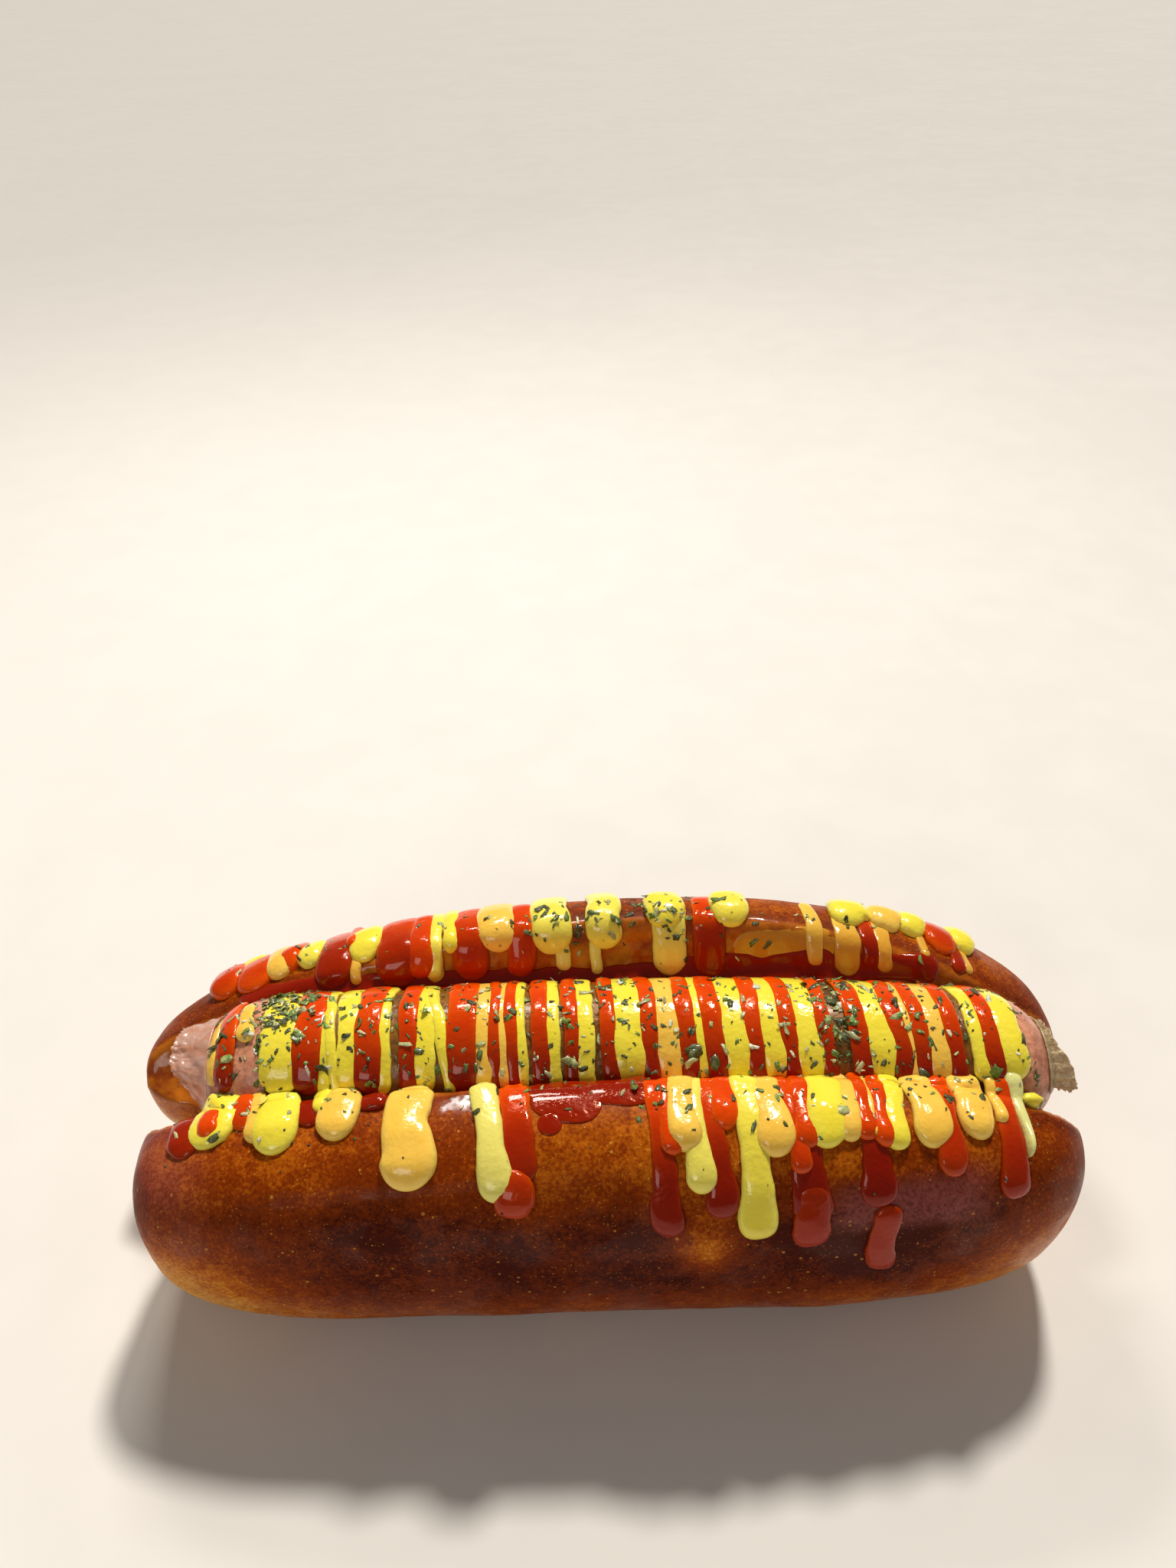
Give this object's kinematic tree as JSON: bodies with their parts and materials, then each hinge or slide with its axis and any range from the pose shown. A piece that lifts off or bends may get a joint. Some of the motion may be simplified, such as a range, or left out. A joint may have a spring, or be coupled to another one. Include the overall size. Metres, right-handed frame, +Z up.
{
  "type": "hot dog",
  "caption": "Hot dog: a glossy split bun around a sausage, with stripes and drips of red, yellow and peach-coloured sauce and dried herbs.",
  "frame": {"origin": "on the table under the middle of the whole hot dog", "axes": "+X along the bun, +Y towards its taller half, +Z up"},
  "size_m": [0.19, 0.078, 0.0588],
  "materials": {
    "bun": "glazed baked crust, darkest along the ridges, with an open golden crumb inside the cut",
    "sausage": "moist smooth sausage skin with a dry pleated casing at each end",
    "ketchup": "wet, glossy, darker where it lies thick",
    "mustard": "wet, smooth and opaque",
    "cheese_sauce": "wet, smooth and opaque",
    "herbs": "dried leaf flakes",
    "onion": "dried pale flakes"
  },
  "bodies": {
    "root": {"bun": "bun", "sausage": "sausage"}
  },
  "joints": []
}
